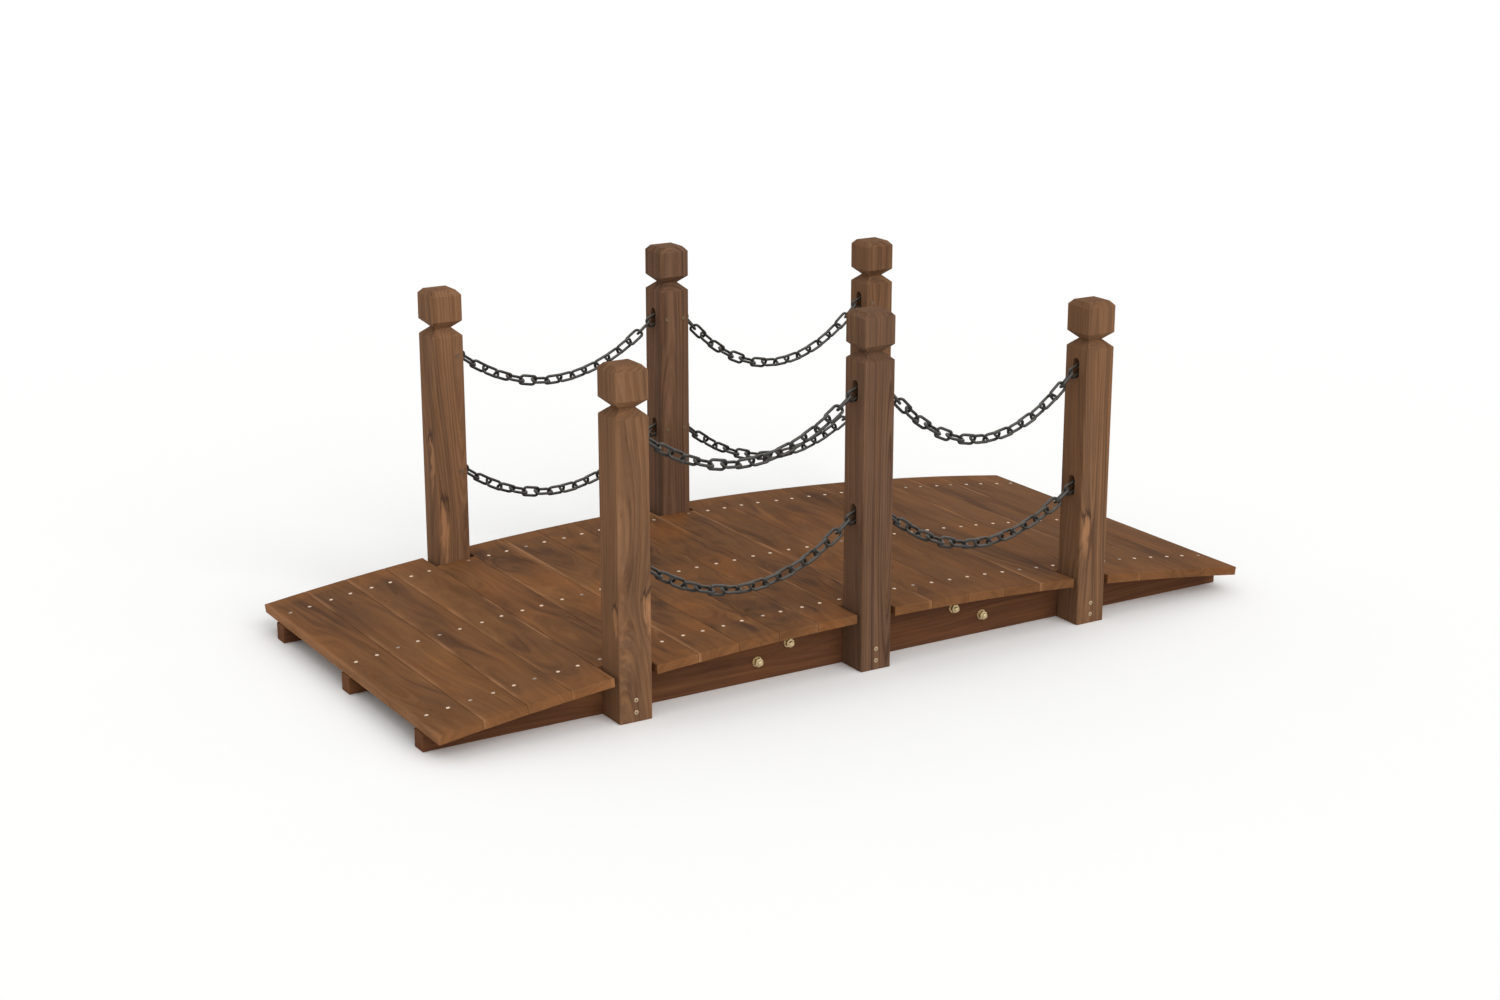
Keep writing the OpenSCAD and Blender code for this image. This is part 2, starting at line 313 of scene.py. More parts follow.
class Wire:
    """A socket of a material's nodes. Sums and products of wires add Math nodes."""

    def __init__(self, tree, socket=None):
        self.tree = tree
        self.socket = socket

    def node(self, kind, settings=None, inputs=None, output=0):
        """Adds a node, gives it its settings, sets or links its inputs and returns one of its outputs."""
        made = self.tree.nodes.new("ShaderNode" + kind)
        for key, value in (settings or {}).items():
            setattr(made, key, value)
        for key, value in (inputs or {}).items():
            if isinstance(value, Wire):
                self.tree.links.new(value.socket, made.inputs[key])
            else:
                made.inputs[key].default_value = value
        return Wire(self.tree, made.outputs[output])

    def combine(self, operation, *values):
        """Maths on any values, in this order."""
        return self.node("Math", {"operation": operation}, dict(enumerate(values)))

    def math(self, operation, *others):
        """Maths with this wire first."""
        return self.combine(operation, self, *others)

    def __add__(self, other):
        return self.math("ADD", other)

    def __radd__(self, other):
        return self.combine("ADD", other, self)

    def __sub__(self, other):
        return self.math("SUBTRACT", other)

    def __rsub__(self, other):
        return self.combine("SUBTRACT", other, self)

    def __mul__(self, other):
        return self.math("MULTIPLY", other)

    def __rmul__(self, other):
        return self.combine("MULTIPLY", other, self)

    def __truediv__(self, other):
        return self.math("DIVIDE", other)

    def __rtruediv__(self, other):
        return self.combine("DIVIDE", other, self)

    def __pow__(self, other):
        return self.math("POWER", other)

    def __rpow__(self, other):
        return self.combine("POWER", other, self)

    def vector(self, operation, *others, output=0):
        """Vector maths with this wire first."""
        return self.node("VectorMath", {"operation": operation}, dict(enumerate((self, *others))), output)

    def scaled(self, factor):
        """This vector or colour times a number."""
        return self.node("VectorMath", {"operation": "SCALE"}, {0: self, "Scale": factor})

    def split(self):
        """The X, Y and Z of this vector."""
        first = self.node("SeparateXYZ", inputs={0: self})
        return [Wire(self.tree, socket) for socket in first.socket.node.outputs]

    def noise(self, noise, output=0):
        """A noise at this place."""
        place = self.vector("MULTIPLY", noise.cells)
        inputs = {"Vector": place, "Scale": 1.0, "Detail": noise.detail, "Roughness": noise.roughness}
        return self.node("TexNoise", inputs=inputs, output=output)

    def ramp(self, low, high):
        """A smooth step from 0 at low to 1 at high."""
        inputs = {"Value": self, "From Min": low, "From Max": high}
        return self.node("MapRange", {"interpolation_type": "SMOOTHSTEP"}, inputs)

    def mix(self, first, second):
        """One colour to another by this value."""
        return self.node("Mix", {"data_type": "RGBA"}, {0: self, 6: first, 7: second}, 2)


def start_material(name):
    """A new material and a first wire to build its nodes from."""
    material = bpy.data.materials.new(name)
    material.use_nodes = True
    return material, Wire(material.node_tree)


def close_material(material, wires, constants):
    """Links the varying values to the surface shader and sets the constant ones on its sockets."""
    tree = material.node_tree
    surface = tree.nodes["Principled BSDF"]
    for key, wire in wires.items():
        tree.links.new(wire.socket, surface.inputs[key])
    for key, value in constants.items():
        surface.inputs[key].default_value = value
    return material


def wear_and_highlight_edge(start, radius):
    """About 1 on the edges of a piece and 0 on its flats, where wear is painted, and on the wood and the
    chain a painted edge highlight too.
    """
    flat = start.node("NewGeometry", output="Normal")
    rounded = start.node("Bevel", {"samples": 4}, {"Radius": radius})
    return (1 - flat.vector("DOT_PRODUCT", rounded, output="Value")).ramp(0.01, 0.16)


def random_shift(draw):
    """A step to another part of a noise, so that no two pieces have the same one."""
    return [draw.uniform(*NOISE_SHIFT) for _ in range(3)]


def heart_distance(local, drift, knots, figure, draw):
    """Distance from the heart of the tree, which bends and swells at knots, and the way from each knot."""
    sway = drift.noise(Noise((SWAY_CELLS, SWAY_CELLS, figure.stretch)), "Color")
    sway = sway.vector("SUBTRACT", (0.5, 0.5, 0.5)).vector("MULTIPLY", (figure.wander, figure.wander, 0))
    heart_x = draw.uniform(*HEART_ACROSS)
    heart_y = draw.uniform(*HEART_DEPTH) * draw.choice((-1, 1))
    slope_x = draw.uniform(-figure.lean, figure.lean)
    slope_y = draw.uniform(*HEART_SLOPE)
    x, y, z = local.vector("ADD", sway).split()
    across = x - heart_x - z * slope_x
    down = y - heart_y - z * slope_y
    distance = (across * across + down * down) ** 0.5
    gaps = []
    for place, width, length in knots:
        gap = local.vector("SUBTRACT", place).vector("MULTIPLY", (1 / width, 1 / width, 1 / length))
        reach = gap.vector("DOT_PRODUCT", gap, output="Value")
        swell = math.e ** (reach * -0.9) + math.e ** (reach * -0.1)
        distance = distance + swell * (0.8 * width)
        gaps.append(gap)
    return distance, gaps


class Grain:
    """Marks of one piece of wood, most of them masks from 0 to 1."""

    def __init__(self, start, timber, figure, draw):
        spin = Euler(timber.turn)
        place = start.node("TexCoord", output="Object")
        shift = -(spin.to_matrix() @ timber.centre)
        local = start.node("Mapping", inputs={"Vector": place, "Location": shift, "Rotation": spin})
        self.drift = local.vector("ADD", random_shift(draw))
        distance, self.gaps = heart_distance(local, self.drift, timber.knots, figure, draw)
        self.x, y, z = local.split()

        # End grain, and the plainer wood near the ends of a board
        normal = start.node("NewGeometry", output="Normal")
        facing = normal.vector("DOT_PRODUCT", spin.to_matrix().transposed() @ UP, output="Value")
        self.end = facing.math("ABSOLUTE").ramp(0.85, 0.97)
        self.plain = self.end * 0.6
        if timber.half_length:
            depth = draw.uniform(*PLAIN_DEPTH)
            from_middle = z.math("ABSOLUTE")
            near_end = from_middle.ramp(timber.half_length - depth, timber.half_length - 0.4 * depth)
            self.plain = self.plain.math("MAXIMUM", near_end)
        marked = 1 - self.plain * 0.8

        # Lines of late wood, which darken slowly and end sharply
        rings = distance / timber.ring + self.drift.noise(RIPPLE) * 0.5
        phase = rings.math("FRACT")
        self.late = phase.ramp(0.25, 0.86) * (1 - phase.ramp(0.88, 1.0)) * marked

        # Streaks, hairs and fibres that follow the rings round the heart
        follow = start.node("CombineXYZ", inputs={0: distance, 1: (self.x + y) * 0.12, 2: z})
        follow = follow.vector("ADD", random_shift(draw))
        gather_noise = Noise((GATHER_CELLS, GATHER_CELLS, 0.8 * figure.stretch))
        gather = self.drift.noise(gather_noise).ramp(0.3, 0.55)
        self.streak = follow.noise(figure.noise(1, 1, 3.0, 0.6)).ramp(0.4, 0.64) * gather * marked
        self.hair = follow.noise(figure.noise(6, 1.3, 2.0, 0.6)).ramp(0.38, 0.66)
        self.patch = follow.noise(figure.noise(0.6, 1.6)).ramp(0.48, 0.66)
        self.light = follow.noise(figure.noise(1.8, 0.8, 2.0, 0.6)).ramp(0.56, 0.74) * marked
        self.fibre = follow.noise(FIBRE)
        self.pore = follow.noise(PORE).ramp(0.66, 0.8)
        self.cloud = self.drift.noise(CLOUD)

    def knot_marks(self, gap):
        """Ragged pale core of a knot, with a tail below it, and the dark arc over it."""
        x, y, z = gap.split()
        wave = (self.drift.noise(KNOT_WAVE) - 0.5) * 1.6
        side = x + wave
        depth = y - wave
        tail = (z * 1.3).math("MAXIMUM", z * 0.6)
        core = math.e ** ((side * side + depth * depth) * -1.5 - tail * tail)
        ragged = core + (self.drift.noise(KNOT_FRAY) - 0.5) * 1.1 + (self.hair - 0.5) * 0.2
        rim = ragged.ramp(0.15, 0.3) * (1 - ragged.ramp(0.36, 0.52)) * z.ramp(0.0, 0.7)
        return ragged.ramp(0.32, 0.85) * core.ramp(0.05, 0.3), rim * core.ramp(0.05, 0.2)


def stained_colour(grain, wood, stain, figure):
    """The stain with its ring lines, warm patches, streaks, plain ends and knots."""
    colour = (grain.late * figure.lines).mix(stain, wood.dark)
    colour = (grain.patch * figure.glow).mix(colour, wood.warm)
    colour = (grain.streak * (grain.hair * 0.5 + 0.5) * figure.smoke).mix(colour, wood.smoky)
    colour = (grain.plain * PLAIN_WARMTH).mix(colour, wood.warm)
    colour = (grain.light * figure.gleam).mix(colour, wood.wear_and_highlight)
    for gap in grain.gaps:
        core, rim = grain.knot_marks(gap)
        colour = (core * (grain.hair * 0.4 + 0.5)).mix(colour, wood.pale)
        colour = (rim * KNOT_ARC).mix(colour, wood.smoky)
    return colour


def rub_edges(colour, grain, wood, half_width, draw):
    """Pale wood in patches along the long edges of a board, each edge rubbed more or less."""
    rubs = [max(0.0, draw.uniform(*EDGE_RUB)) for _ in range(2)]
    patchy = grain.drift.noise(RUB_PATCH).ramp(0.4, 0.62)
    for rub, side in zip(rubs, (grain.x, grain.x * -1)):
        near_edge = side.ramp(half_width - RUB_WIDTH, half_width - RUB_MARGIN)
        colour = (near_edge * patchy * rub).mix(colour, wood.pale)
    return colour


def wood_material(name, wood, stain, timber, figure, tone, draw):
    """Stained softwood: ring lines about a heart, streaks, warm glows, fibres, knots, and pale edges that are
    wear and a painted highlight.
    """
    material, start = start_material(name)
    grain = Grain(start, timber, figure, draw)
    colour = stained_colour(grain, wood, stain, figure)
    if timber.half_width:
        colour = rub_edges(colour, grain, wood, timber.half_width, draw)
    # Pale edges: wear, and a painted highlight where the edges catch the light
    edge = wear_and_highlight_edge(start, WEAR_AND_HIGHLIGHT_RADIUS) * grain.drift.noise(WEAR_AND_HIGHLIGHT_PATCH).ramp(0.35, 0.65)
    colour = (edge * WEAR_AND_HIGHLIGHT_STRENGTH).mix(colour, wood.wear_and_highlight)
    shade = (grain.fibre * 0.6 + 0.7) * (1.09 - grain.hair * 0.18) * (grain.cloud * 0.6 + 0.7)
    shade = shade * (1 - grain.pore * 0.25) * (1 - grain.end * 0.08)
    colour = colour.scaled(shade * tone)
    roughness = WOOD_ROUGHNESS + grain.fibre * 0.2 + grain.pore * 0.15 - grain.late * 0.06
    height = grain.fibre * 0.6 + grain.late * 0.5 - grain.pore * 0.6
    bump = start.node("Bump", inputs={"Strength": 0.5, "Distance": WOOD_RELIEF, "Height": height})
    return close_material(material, {"Base Color": colour, "Roughness": roughness, "Normal": bump},
                          {"Specular IOR Level": WOOD_SPECULAR})


def metal_material(name, colour, wear_and_highlight, edge_radius, roughness, metallic, dust_and_top_light=0.0, dull=0.0):
    """Plated or painted metal with uneven tone, rubbed edges, a lighter colour on faces that look up, and
    some dull pieces; on the chain the rubbed edges are also a painted highlight, and the lighter tops a
    dusting and painted top light.
    """
    material, start = start_material(name)
    place = start.node("TexCoord", output="Object")
    cloud = place.noise(METAL_CLOUD)
    speck = place.noise(METAL_SPECK)
    # Rubbed edges; on the chain they also paint a highlight
    rubbed = wear_and_highlight_edge(start, edge_radius) * place.noise(METAL_RUB).ramp(0.4, 0.62)
    # Faces that look up turn lighter: a dusting, and painted top light
    if dust_and_top_light:
        up = start.node("NewGeometry", output="Normal").split()[2].ramp(0.1, 0.95)
        rubbed = rubbed.math("MAXIMUM", up * (cloud * 0.6 + 0.7) * dust_and_top_light)
    bright = cloud * 0.6 + speck * 0.3 + 0.55
    if dull:
        bright = bright * (1 - place.noise(METAL_DULL).ramp(0.55, 0.68) * dull)
    tone = rubbed.mix(colour, wear_and_highlight).scaled(bright)
    shine = roughness + cloud * 0.16 - rubbed * 0.12
    bump = start.node("Bump", inputs={"Strength": 0.35, "Distance": METAL_RELIEF, "Height": speck})
    return close_material(material, {"Base Color": tone, "Roughness": shine, "Normal": bump},
                          {"Metallic": metallic})


def coat_node(name, material):
    """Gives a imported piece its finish."""
    for material_slot in NODES[name].material_slots:
        material_slot.material = material


def node_middle(name):
    low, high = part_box(name)
    return (low + high) / 2


def node_halves(name):
    low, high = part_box(name)
    return (high - low) / 2


def board_top(name):
    """Middle and normal of the top face of a deck board."""
    mesh = NODES[name].data
    upper = [face for face in mesh.polygons if face.normal.z > BOARD_TOP_RISE]
    area = sum(face.area for face in upper)
    middle = sum((face.center * face.area for face in upper), Vector()) / area
    normal = sum((face.normal * face.area for face in upper), Vector()).normalized()
    return middle, normal


def clear_selection():
    """Leaves edit mode and selects nothing."""
    if bpy.context.object and bpy.context.object.mode != "OBJECT":
        bpy.ops.object.mode_set(mode="OBJECT")
    bpy.ops.object.select_all(action="DESELECT")


def pick_faces(test):
    """In edit mode, selects the faces whose middle and normal pass the test."""
    piece = bpy.context.object
    bpy.ops.mesh.select_all(action="DESELECT")
    bpy.ops.object.mode_set(mode="OBJECT")
    for face in piece.data.polygons:
        face.select = test(face.center, face.normal)
    bpy.ops.object.mode_set(mode="EDIT")


def pick_top(radius):
    """Selects the face in the middle of a round piece's top."""
    pick_faces(lambda middle, normal: normal.z > LOOKS_UP and middle.xy.length < MIDDLE_SHARE * radius)


def step_top(radius, inset, lift):
    """Insets the top face of a round piece and lifts what is inside."""
    pick_top(radius)
    bpy.ops.mesh.inset(thickness=inset)
    bpy.ops.transform.translate(value=(0, 0, lift))


def start_edit():
    """Opens the new piece for editing in face mode."""
    bpy.ops.object.transform_apply(location=True, rotation=True, scale=True)
    bpy.ops.object.mode_set(mode="EDIT")
    bpy.ops.mesh.select_mode(type="FACE")
    return bpy.context.object


def start_round(sides, radius, depth, bottom=0.0):
    """A cylinder that stands on the given height, open for editing."""
    clear_selection()
    bpy.ops.mesh.primitive_cylinder_add(vertices=sides, radius=radius, depth=depth,
                                        location=(0, 0, bottom + depth / 2))
    return start_edit()


def end_edit(smooth_below):
    """Closes the edit and smooths the edges that turn by fewer degrees."""
    bpy.ops.object.mode_set(mode="OBJECT")
    bpy.ops.object.shade_smooth_by_angle(angle=math.radians(smooth_below))
    return bpy.context.object


def join_pieces(pieces, name):
    """Joins the pieces to the first of them and names it."""
    clear_selection()
    for piece in pieces:
        piece.select_set(True)
    bpy.context.view_layer.objects.active = pieces[0]
    if len(pieces) > 1:
        bpy.ops.object.join()
    pieces[0].name = name
    pieces[0].data.name = name
    return pieces[0]


def spread_copies(model, name, places):
    """A copy of the model at each place, each with its own mesh, joined to one piece."""
    copies = []
    for place in places:
        copy = model.copy()
        copy.data = model.data.copy()
        copy.data.transform(place)
        bpy.context.collection.objects.link(copy)
        copies.append(copy)
    return join_pieces(copies, name)


def finish_piece(piece, material):
    """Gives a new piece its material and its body."""
    piece.data.materials.clear()
    piece.data.materials.append(material)
    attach(piece, "root")


def remove_model(model):
    """Deletes a model that was only copied or used as a cutter."""
    mesh = model.data
    bpy.data.objects.remove(model)
    bpy.data.meshes.remove(mesh)


def model_nail(head, rise):
    """Round head with a low crown."""
    radius = head / 2
    start_round(sides=12, radius=radius, depth=rise + NAIL_SUNK, bottom=-NAIL_SUNK)
    for inset, lift in NAIL_CROWN:
        step_top(radius, inset * radius, lift * rise)
    return end_edit(smooth_below=40)


def model_screw(head):
    """Countersunk head, almost flush, with a cross recess."""
    radius = head / 2
    slot_width = 0.26 * radius
    arm_length = 0.4 * radius
    slot_depth = 1.0 * MM
    piece = start_round(sides=20, radius=radius, depth=0.9 * MM, bottom=-0.5 * MM)
    step_top(radius, inset=0.16 * radius, lift=0.22 * MM)
    end_edit(smooth_below=40)

    clear_selection()
    bpy.ops.mesh.primitive_cube_add(size=1, location=(0, 0, slot_depth / 2), rotation=(0, 0, 0.4))
    bpy.ops.transform.resize(value=(slot_width, slot_width, slot_depth))
    cutter = start_edit()
    pick_faces(lambda middle, normal: abs(normal.z) < LOOKS_ASIDE)
    bpy.ops.mesh.extrude_faces_move(TRANSFORM_OT_shrink_fatten={"value": arm_length})
    bpy.ops.object.mode_set(mode="OBJECT")

    cut = piece.modifiers.new("cross", "BOOLEAN")
    cut.object = cutter
    cut.operation = "DIFFERENCE"
    cut.solver = "EXACT"
    clear_selection()
    piece.select_set(True)
    bpy.context.view_layer.objects.active = piece
    bpy.ops.object.modifier_apply(modifier=cut.name)
    remove_model(cutter)
    return piece


def model_washer(fasteners):
    """Flat round with a chamfered rim."""
    radius = fasteners.washer / 2
    start_round(sides=28, radius=radius, depth=fasteners.washer_thickness)
    step_top(radius, inset=0.35 * MM, lift=0.3 * MM)
    return end_edit(smooth_below=25)


def model_nut(fasteners):
    """Hexagon with rounded edges."""
    radius = fasteners.nut_flats / math.sqrt(3)
    start_round(sides=6, radius=radius, depth=fasteners.nut_thickness, bottom=fasteners.washer_thickness)
    bpy.ops.mesh.select_all(action="SELECT")
    bpy.ops.mesh.bevel(offset=0.5 * MM, segments=2, affect="EDGES")
    return end_edit(smooth_below=30)


def model_bolt_end(fasteners):
    """Threaded end with a chamfered tip, which starts a little inside the nut."""
    radius = fasteners.bolt / 2
    start_depth = 1.0 * MM
    bottom = fasteners.washer_thickness + fasteners.nut_thickness - start_depth
    start_round(sides=16, radius=radius, depth=start_depth, bottom=bottom)
    rise = fasteners.bolt_end / (2 * THREAD_RINGS)
    for size in (THREAD_ROOT, 1 / THREAD_ROOT) * THREAD_RINGS:
        pick_top(radius)
        bpy.ops.mesh.extrude_region_move(TRANSFORM_OT_translate={"value": (0, 0, rise)})
        bpy.ops.transform.resize(value=(size, size, 1))
    step_top(radius, inset=0.2 * radius, lift=0.12 * radius)
    return end_edit(smooth_below=20)


def model_bolt_head(fasteners, grip):
    """Domed head on the far side of the joint."""
    radius = 0.95 * fasteners.bolt
    piece = start_round(sides=24, radius=radius, depth=0.8 * MM)
    for inset, lift in BOLT_DOME:
        step_top(radius, inset * radius, lift * radius)
    end_edit(smooth_below=50)
    piece.data.transform(Matrix.Translation((0, 0, -grip)) @ Matrix.Rotation(math.pi, 4, "X"))
    return piece


def nail_place(middle, normal, row_y, spread, draw):
    """Place of a nail that stands square on its board, but for a small slip, stray and lean."""
    across = Vector((0, 1, 0)).cross(normal)
    point = middle + across * (spread + draw.uniform(-NAIL_SLIP, NAIL_SLIP))
    point.y = row_y + draw.uniform(-NAIL_STRAY, NAIL_STRAY)
    lean = Matrix.Rotation(draw.uniform(-NAIL_LEAN, NAIL_LEAN), 4, "X")
    stand = normal.to_track_quat("Z", "Y").to_matrix().to_4x4()
    return Matrix.Translation(point) @ stand @ lean


def face_place(x, y, z, looks_front, draw):
    """Place of a screw or bolt in an upright face that looks to the front or the back, turned by chance."""
    face = Matrix.Rotation(math.pi / 2 if looks_front else -math.pi / 2, 4, "X")
    spin = Matrix.Rotation(draw.uniform(0, math.pi), 4, "Z")
    return Matrix.Translation((x, y, z)) @ face @ spin


class BRIDGE_OT_deck_boards(bpy.types.Operator):
    """Stains each deck board with its own figure."""
    bl_idname = "bridge.deck_boards"
    bl_label = "Finish deck boards"

    def execute(self, context):
        wood = context.scene.bridge_wood
        for number, name in enumerate(BOARDS):
            draw = random.Random(wood.seed * BOARD_DRAWS + number)
            # Each board is a step darker than the one before it: painted shade along the deck
            tone = draw.uniform(*BOARD_TONES) - BOARD_PAINTED_SHADE * number
            lively = max(0.0, 1 - abs(number - LIVELIEST) / LIVELY_REACH)
            figure = CALM_BOARD.towards(LIVELY_BOARD, lively)
            halves = node_halves(name)
            timber = Timber(node_middle(name), ALONG_Y, wood.board_ring, halves.x, halves.y)
            coat_node(name, wood_material(name + "_stain", wood, wood.deck, timber, figure, tone, draw))
        return {"FINISHED"}


class BRIDGE_OT_bearers(bpy.types.Operator):
    """Stains the bearers and their splice plates a deeper brown."""
    bl_idname = "bridge.bearers"
    bl_label = "Finish bearers"

    def execute(self, context):
        wood = context.scene.bridge_wood
        for number, name in enumerate(BEARERS + PLATES):
            draw = random.Random(wood.seed * BEARER_DRAWS + number)
            tone = draw.uniform(*BEARER_TONES)
            timber = Timber(node_middle(name), ALONG_X, wood.bearer_ring)
            coat_node(name, wood_material(name + "_stain", wood, wood.bearer, timber, BEARER, tone, draw))
        return {"FINISHED"}


class BRIDGE_OT_posts(bpy.types.Operator):
    """Stains the posts, with knots in the end posts."""
    bl_idname = "bridge.posts"
    bl_label = "Finish posts"

    def execute(self, context):
        wood = context.scene.bridge_wood
        for number, name in enumerate(POSTS):
            draw = random.Random(wood.seed * POST_DRAWS + number)
            tone = POST_TONES[name]
            tall = "middle" in name
            stain = wood.tall_post if tall else wood.post
            figure = MIDDLE_POST if tall else END_POST
            middle = node_middle(name)
            half = node_halves(name).x
            knots = []
            for knot in KNOTS.get(name, ()):
                place = Vector((knot.x * half, knot.y * half, knot.height - middle.z))
                knots.append((place, knot.half_width, knot.half_length))
            timber = Timber(middle, ALONG_Z, wood.post_ring, knots=tuple(knots))
            coat_node(name, wood_material(name + "_stain", wood, stain, timber, figure, tone, draw))
        return {"FINISHED"}


class BRIDGE_OT_chains(bpy.types.Operator):
    """Paints the chain links black, rubbed to steel on their curves, with lighter tops; the steel grey on
    curves and tops is also painted highlight and top light.
    """
    bl_idname = "bridge.chains"
    bl_label = "Finish chains"

    def execute(self, context):
        chain = context.scene.bridge_chain
        # The lighter tops of the links are a dusting and painted top light
        black = metal_material("chain_black", chain.black, chain.bare_steel_and_top_light, edge_radius=1.5 * MM, roughness=0.34,
                               metallic=0.35, dust_and_top_light=0.7)
        for name in CHAINS:
            coat_node(name, black)
        return {"FINISHED"}


class BRIDGE_OT_chain_pins(bpy.types.Operator):
    """Gives the pins in the posts their brown steel."""
    bl_idname = "bridge.chain_pins"
    bl_label = "Finish chain pins"

    def execute(self, context):
        fasteners = context.scene.bridge_fasteners
        steel = metal_material("pin_metal", fasteners.pin, fasteners.screw, edge_radius=0.4 * MM,
                               roughness=0.5, metallic=0.3)
        coat_node("chain_pins", steel)
        return {"FINISHED"}


class BRIDGE_OT_deck_nails(bpy.types.Operator):
    """Drives two nails through each board into each bearer, but one dull nail beside each back post."""
    bl_idname = "bridge.deck_nails"
    bl_label = "Add deck nails"

    def execute(self, context):
        fasteners = context.scene.bridge_fasteners
        brass = metal_material("nail_metal", fasteners.brass, fasteners.zinc, edge_radius=0.5 * MM,
                               roughness=0.36, metallic=0.5, dull=0.6)
        dull = metal_material("dull_nail_metal", fasteners.dull, fasteners.pin, edge_radius=0.5 * MM,
                              roughness=0.5, metallic=0.3)
        nail = model_nail(fasteners.nail_head, fasteners.nail_rise)
        draw = random.Random(context.scene.bridge_wood.seed)
        dull_places = []
        for row in ROWS:
            row_y = node_middle("bearer_" + row + "_left").y + (fasteners.front_row if row == "front" else 0)
            places = []
            for name in BOARDS:
                middle, normal = board_top(name)
                by_back_post = row == "back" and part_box(name)[1].y < BOARD_END
                for side in (-1, 1):
                    place = nail_place(middle, normal, row_y, side * fasteners.nail_spread, draw)
                    if not by_back_post:
                        places.append(place)
                    elif side == 1:
                        dull_places.append(place)
            finish_piece(spread_copies(nail, "deck_nails_" + row, places), brass)
        finish_piece(spread_copies(nail, "deck_nails_posts", dull_places), dull)
        remove_model(nail)
        return {"FINISHED"}


class BRIDGE_OT_foot_screws(bpy.types.Operator):
    """Sets two screws in the outer face of each post's foot."""
    bl_idname = "bridge.foot_screws"
    bl_label = "Add foot screws"

    def execute(self, context):
        fasteners = context.scene.bridge_fasteners
        steel = metal_material("screw_metal", fasteners.screw, fasteners.brass, edge_radius=0.5 * MM,
                               roughness=0.34, metallic=0.7)
        screw = model_screw(fasteners.screw_head)
        draw = random.Random(context.scene.bridge_wood.seed + 1)
        places = []
        for name in POSTS:
            low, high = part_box(name)
            front = "front" in name
            face_y = low.y if front else high.y
            for height in (fasteners.screw_low, fasteners.screw_high):
                places.append(face_place((low.x + high.x) / 2, face_y, height, front, draw))
        finish_piece(spread_copies(screw, "foot_screws", places), steel)
        remove_model(screw)
        return {"FINISHED"}


class BRIDGE_OT_joint_bolts(bpy.types.Operator):
    """Bolts each bearer to its splice plate: nut and washer on the bearer, domed head on the plate."""
    bl_idname = "bridge.joint_bolts"
    bl_label = "Add joint bolts"

    def execute(self, context):
        fasteners = context.scene.bridge_fasteners
        zinc = metal_material("nut_metal", fasteners.zinc, fasteners.brass, edge_radius=0.6 * MM,
                              roughness=0.3, metallic=0.8)
        draw = random.Random(context.scene.bridge_wood.seed + 2)
        for row in ROWS:
            plate_low, plate_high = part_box("splice_plate_" + row)
            bearer_low, bearer_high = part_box("bearer_" + row + "_left")
            nut_in_front = bearer_low.y < plate_low.y
            face_y = bearer_low.y if nut_in_front else bearer_high.y
            grip = plate_high.y - bearer_low.y if nut_in_front else bearer_high.y - plate_low.y
            parts = [model_washer(fasteners), model_nut(fasteners), model_bolt_end(fasteners),
                     model_bolt_head(fasteners, grip)]
            bolt = join_pieces(parts, "bolt_model")
            places = []
            for end, way in ((plate_low.x, 1), (plate_high.x, -1)):
                for step, height in ((0, fasteners.bolt_low), (1, fasteners.bolt_high)):
                    x = end + way * (fasteners.bolt_inset + step * fasteners.bolt_step)
                    places.append(face_place(x, face_y, height, nut_in_front, draw))
            finish_piece(spread_copies(bolt, "joint_bolts_" + row, places), zinc)
            remove_model(bolt)
        return {"FINISHED"}


def floor_material(stage):
    """Pale floor that turns to plain white well away from the bridge."""
    material, start = start_material("floor_pale")
    place = start.node("TexCoord", output="Object")
    away = place.vector("LENGTH", output="Value").ramp(stage.fade_start, stage.fade_end)
    seen = start.node("LightPath", output="Is Camera Ray")
    pale = start.node("BsdfDiffuse", inputs={"Color": stage.floor})
    white = start.node("Emission", inputs={"Color": WHITE, "Strength": 1.0})
    both = start.node("MixShader", inputs={0: away * seen, 1: pale, 2: white})
    tree = material.node_tree
    tree.links.new(both.socket, tree.nodes["Material Output"].inputs["Surface"])
    return material


def light_world(stage):
    """Even light on the bridge, and plain white where the camera, gloss or glass sees past it."""
    world = bpy.data.worlds.new("studio")
    world.use_nodes = True
    bpy.context.scene.world = world
    tree = world.node_tree
    start = Wire(tree)
    seen = start.node("LightPath", output="Is Camera Ray")
    for ray in ("Is Glossy Ray", "Is Transmission Ray"):
        seen = seen.math("MAXIMUM", start.node("LightPath", output=ray))
    even = start.node("Background", inputs={"Color": WHITE, "Strength": stage.sky})
    white = start.node("Background", inputs={"Color": WHITE, "Strength": 1.0})
    both = start.node("MixShader", inputs={0: seen, 1: even, 2: white})
    tree.links.new(both.socket, tree.nodes["World Output"].inputs["Surface"])


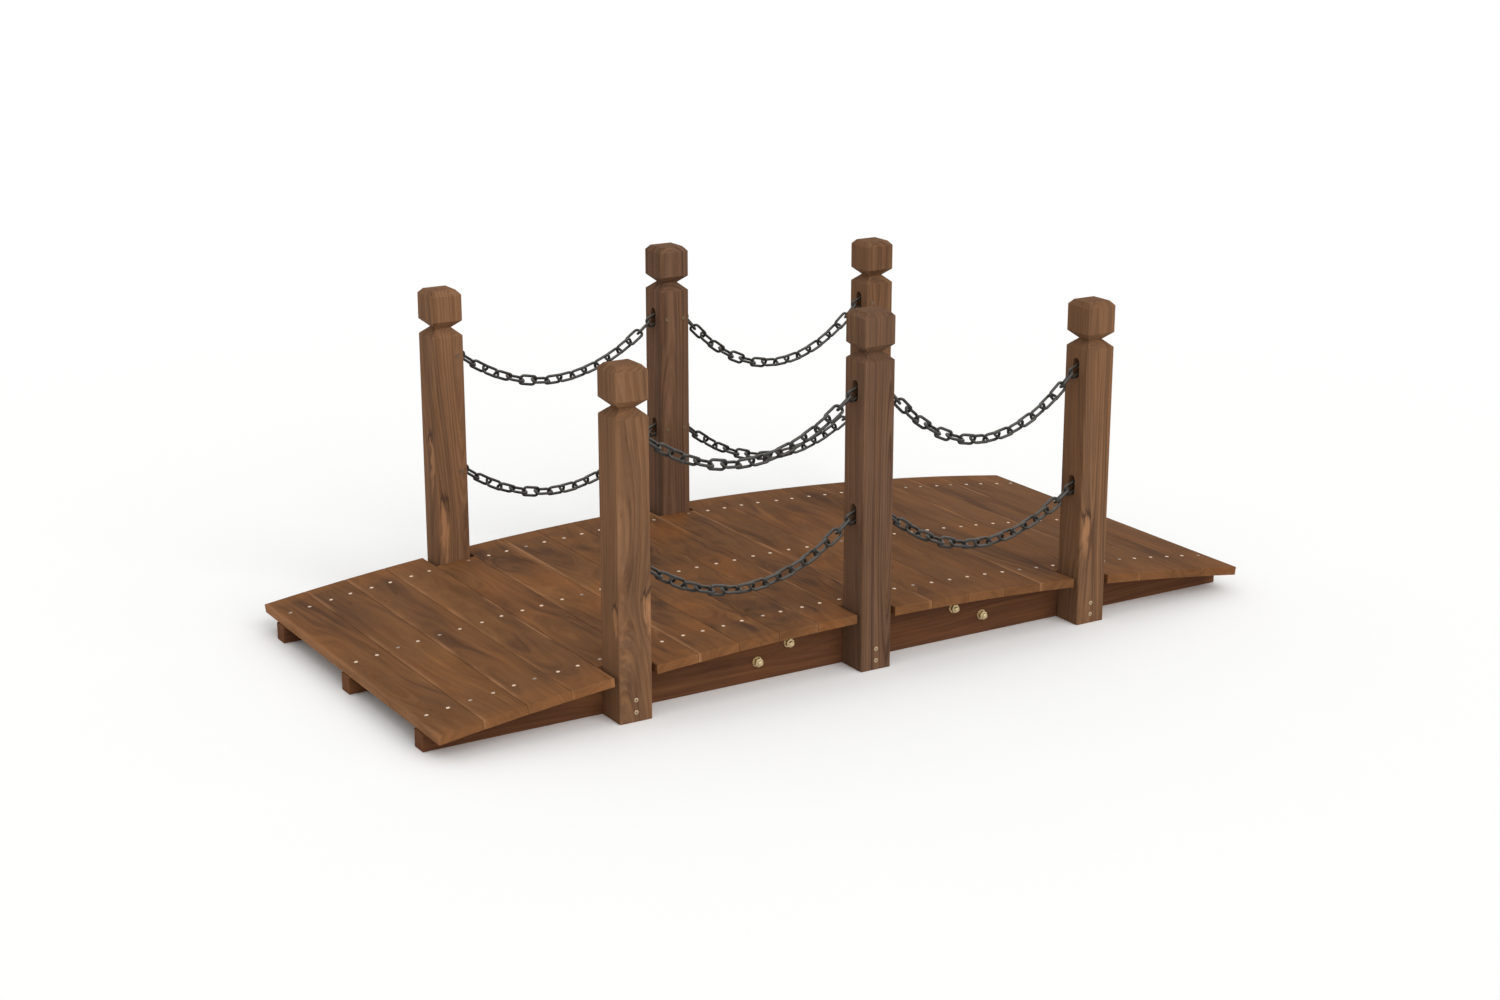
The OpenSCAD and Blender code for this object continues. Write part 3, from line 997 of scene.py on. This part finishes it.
class BRIDGE_OT_stage(bpy.types.Operator):
    """Sets the floor, the light and the camera."""
    bl_idname = "bridge.stage"
    bl_label = "Set the stage"

    def execute(self, context):
        stage = context.scene.bridge_stage
        clear_selection()
        bpy.ops.mesh.primitive_plane_add(size=stage.floor_size, location=(0, 0, -stage.floor_drop))
        floor = context.object
        floor.name = "floor"
        floor.data.materials.append(floor_material(stage))

        light_world(stage)
        place = Vector(stage.key_place)
        bpy.ops.object.light_add(type="SUN", location=place,
                                 rotation=place.to_track_quat("Z", "Y").to_euler())
        lamp = context.object
        lamp.name = "key_lamp"
        lamp.data.energy = stage.key
        lamp.data.angle = stage.key_spread

        bpy.ops.object.camera_add(location=stage.camera,
                                  rotation=(math.pi / 2 - stage.tilt, 0, stage.heading))
        camera = context.object
        camera.name = "camera"
        camera.data.lens = stage.lens
        context.scene.camera = camera
        context.scene.view_settings.view_transform = "Standard"
        return {"FINISHED"}


class BRIDGE_PT_finish(bpy.types.Panel):
    """Lists the steps that dress the bridge."""
    bl_idname = "BRIDGE_PT_finish"
    bl_label = "Garden bridge"
    bl_space_type = "VIEW_3D"
    bl_region_type = "UI"
    bl_category = "Bridge"

    def draw(self, context):
        for step in STEPS:
            self.layout.operator(step.bl_idname)


GROUPS = {"bridge_wood": BridgeWood, "bridge_fasteners": BridgeFasteners, "bridge_chain": BridgeChain,
          "bridge_stage": BridgeStage}
STEPS = (BRIDGE_OT_stage, BRIDGE_OT_deck_boards, BRIDGE_OT_bearers, BRIDGE_OT_posts, BRIDGE_OT_chains,
         BRIDGE_OT_chain_pins, BRIDGE_OT_deck_nails, BRIDGE_OT_foot_screws, BRIDGE_OT_joint_bolts)
CLASSES = (*GROUPS.values(), *STEPS, BRIDGE_PT_finish)


def register():
    for item in CLASSES:
        bpy.utils.register_class(item)
    for name, group in GROUPS.items():
        setattr(bpy.types.Scene, name, PointerProperty(type=group))


def unregister():
    for name in GROUPS:
        delattr(bpy.types.Scene, name)
    for item in reversed(CLASSES):
        bpy.utils.unregister_class(item)


def main():
    register()
    bpy.ops.bridge.stage()
    bpy.ops.bridge.deck_boards()
    bpy.ops.bridge.bearers()
    bpy.ops.bridge.posts()
    bpy.ops.bridge.chains()
    bpy.ops.bridge.chain_pins()
    bpy.ops.bridge.deck_nails()
    bpy.ops.bridge.foot_screws()
    bpy.ops.bridge.joint_bolts()


if __name__ == "__main__":
    main()
